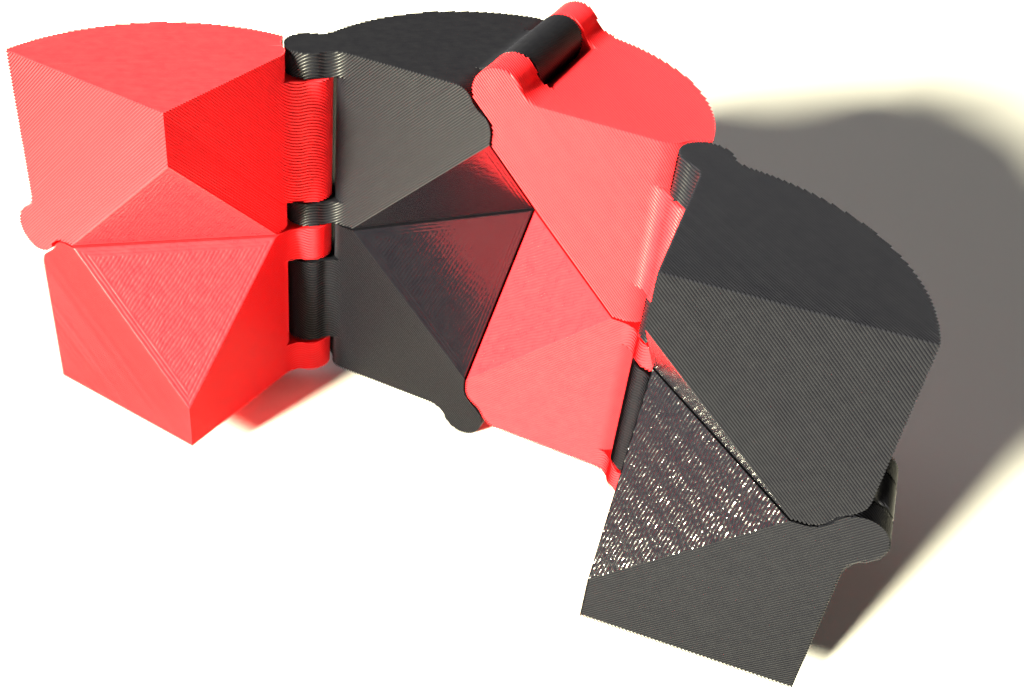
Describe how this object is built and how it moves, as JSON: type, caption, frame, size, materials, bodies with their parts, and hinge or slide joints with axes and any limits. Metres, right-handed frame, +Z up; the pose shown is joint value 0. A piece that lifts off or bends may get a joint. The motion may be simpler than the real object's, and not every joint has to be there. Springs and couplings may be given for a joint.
{
  "type": "folding ring puzzle",
  "caption": "Printed folding ring puzzle of red and black quarter-round blocks joined end to end by knuckle hinges.",
  "frame": {"origin": "below the middle of the two inner columns, at the lowest point, the underside of the lower cross hinge", "axes": "+Z up along the upright hinges, +X from the left column to the right column, the open side of the puzzle towards -Y"},
  "size_m": [0.1108, 0.0494, 0.0548],
  "materials": {
    "red_plastic": "gloss",
    "black_plastic": "gloss"
  },
  "bodies": {
    "upper_left_outer": {"upper_left_outer_block": "red_plastic"},
    "upper_left_inner": {"upper_left_inner_block": "black_plastic"},
    "upper_right_inner": {"upper_right_inner_block": "red_plastic"},
    "upper_right_outer": {"upper_right_outer_block": "black_plastic"},
    "lower_left_outer": {"lower_left_outer_block": "red_plastic"},
    "lower_left_inner": {"lower_left_inner_block": "black_plastic"},
    "lower_right_inner": {"lower_right_inner_block": "red_plastic"},
    "lower_right_outer": {"lower_right_outer_block": "black_plastic"}
  },
  "joints": [
    {"name": "left_lower_upright", "type": "hinge", "parent": "lower_left_inner", "child": "lower_left_outer", "pos_m": [-0.025, 0, 0.0152], "axis": [0, 0, -1], "range_deg": [-96, 84]},
    {"name": "left_side", "type": "hinge", "parent": "lower_left_outer", "child": "upper_left_outer", "pos_m": [-0.05188, -0.01653, 0.0274], "axis": [-0.1045, -0.9945, 0], "range_deg": [0, 180]},
    {"name": "left_upper_upright", "type": "hinge", "parent": "upper_left_outer", "child": "upper_left_inner", "pos_m": [-0.025, 0, 0.0396], "axis": [0, 0, 1], "range_deg": [-96, 84]},
    {"name": "lower_cross", "type": "hinge", "parent": "lower_left_inner", "child": "lower_right_inner", "pos_m": [0, 0.0125, 0.003], "axis": [0, 1, 0], "range_deg": [0, 180]},
    {"name": "right_lower_upright", "type": "hinge", "parent": "lower_right_inner", "child": "lower_right_outer", "pos_m": [0.025, 0, 0.0152], "axis": [0, 0, 1], "range_deg": [-96, 84]},
    {"name": "right_side", "type": "hinge", "parent": "lower_right_outer", "child": "upper_right_outer", "pos_m": [0.05188, -0.01653, 0.0274], "axis": [-0.1045, 0.9945, 0], "range_deg": [0, 180]},
    {"name": "right_upper_upright", "type": "hinge", "parent": "upper_right_outer", "child": "upper_right_inner", "pos_m": [0.025, 0, 0.0396], "axis": [0, 0, -1], "range_deg": [-96, 84]}
  ],
  "couplings": [
    {"joint": "left_upper_upright", "follows": "left_lower_upright", "ratio": 1},
    {"joint": "right_upper_upright", "follows": "right_lower_upright", "ratio": 1},
    {"joint": "right_side", "follows": "left_side", "ratio": 1}
  ]
}
